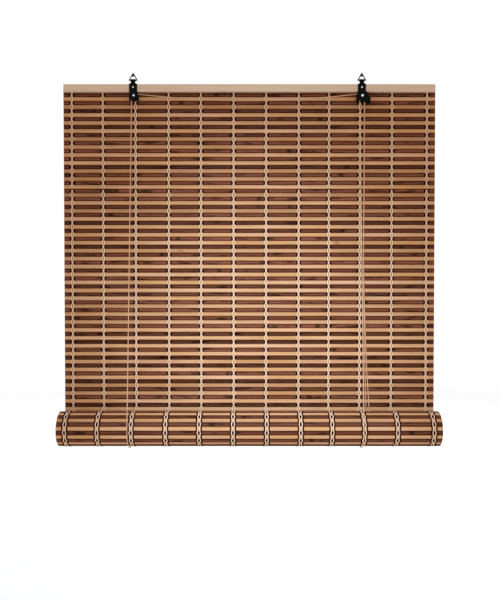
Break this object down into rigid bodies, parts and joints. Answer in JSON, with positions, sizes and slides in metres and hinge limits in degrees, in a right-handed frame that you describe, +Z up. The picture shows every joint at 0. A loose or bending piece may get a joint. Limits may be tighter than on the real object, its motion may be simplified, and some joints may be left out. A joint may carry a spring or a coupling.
{
  "type": "bamboo roll-up blind",
  "caption": "Bamboo roll-up blind on a wooden headrail with hanging rings; lift cords, pulleys and a cord lock raise its striped slat mat into a roll.",
  "frame": {"origin": "on the line through both hanging rings' bearing faces, at the middle of the headrail's length", "axes": "+Z up, +X to the right along the headrail, -Y to the front, where the roll lies"},
  "size_m": [0.9, 0.0975, 0.8973],
  "materials": {
    "raw_wood": "raw",
    "dark_bamboo": "satin",
    "light_bamboo": "satin",
    "string": "matte",
    "cord": "matte",
    "black_metal": "satin",
    "ring_wire": "satin",
    "rivet_metal": "bright",
    "pulley_metal": "satin"
  },
  "bodies": {
    "head": {"headrail": "raw_wood", "back_strip": "raw_wood", "upper_dark_slats": "dark_bamboo", "upper_light_slats": "light_bamboo", "upper_strings": "string", "lower_dark_slats": "dark_bamboo", "lower_light_slats": "light_bamboo", "lower_strings": "string", "left_bracket": "black_metal", "right_bracket": "black_metal", "left_nail": "rivet_metal", "right_nail": "rivet_metal", "left_axle": "rivet_metal", "right_axle": "rivet_metal", "cam_pin": "black_metal", "left_front_cord": "cord", "right_front_cord": "cord", "back_cords": "cord", "cross_cord": "cord", "lock_loop": "cord", "pull_cords": "cord"},
    "slings": {"left_sling": "cord", "right_sling": "cord"},
    "roll": {"roll_turns": "light_bamboo", "roll_dark_slats": "dark_bamboo", "roll_light_slats": "light_bamboo", "roll_strings": "string", "bottom_bar": "raw_wood"},
    "left_ring": {"left_ring": "ring_wire"},
    "right_ring": {"right_ring": "ring_wire"},
    "left_pulley": {"left_pulley": "pulley_metal"},
    "right_pulley": {"right_pulley": "pulley_metal"},
    "lock_cam": {"lock_cam": "black_metal"}
  },
  "joints": [
    {"name": "blind_lift", "type": "slide", "parent": "head", "child": "slings", "axis": [0, 0, 1], "range_m": [0, 0.575], "deforming": ["lower_dark_slats", "lower_light_slats", "lower_strings", "left_front_cord", "right_front_cord", "back_cords", "pull_cords"]},
    {"name": "roll_turn", "type": "hinge", "parent": "slings", "child": "roll", "pos_m": [0, -0.02916, -0.84135], "axis": [-1, 0, 0], "range_deg": [0, 720]},
    {"name": "left_ring_fold", "type": "hinge", "parent": "head", "child": "left_ring", "pos_m": [-0.279, 0, -0.009], "axis": [1, 0, 0], "range_deg": [-90, 90]},
    {"name": "right_ring_fold", "type": "hinge", "parent": "head", "child": "right_ring", "pos_m": [0.27, 0, -0.009], "axis": [1, 0, 0], "range_deg": [-90, 90]},
    {"name": "left_pulley_turn", "type": "hinge", "parent": "head", "child": "left_pulley", "pos_m": [-0.2776, 0.00274, -0.0459], "axis": [0, 1, 0], "continuous": true},
    {"name": "right_pulley_turn", "type": "hinge", "parent": "head", "child": "right_pulley", "pos_m": [0.2714, 0.00274, -0.0459], "axis": [0, 1, 0], "continuous": true},
    {"name": "lock_cam_tilt", "type": "hinge", "parent": "head", "child": "lock_cam", "pos_m": [0.2849, 0.00274, -0.0554], "axis": [0, -1, 0], "range_deg": [0, 30]}
  ],
  "couplings": [
    {"joint": "roll_turn", "follows": "blind_lift", "rad_per_m": 21.85},
    {"joint": "left_pulley_turn", "follows": "blind_lift", "rad_per_m": 344.8},
    {"joint": "right_pulley_turn", "follows": "blind_lift", "rad_per_m": 344.8}
  ]
}
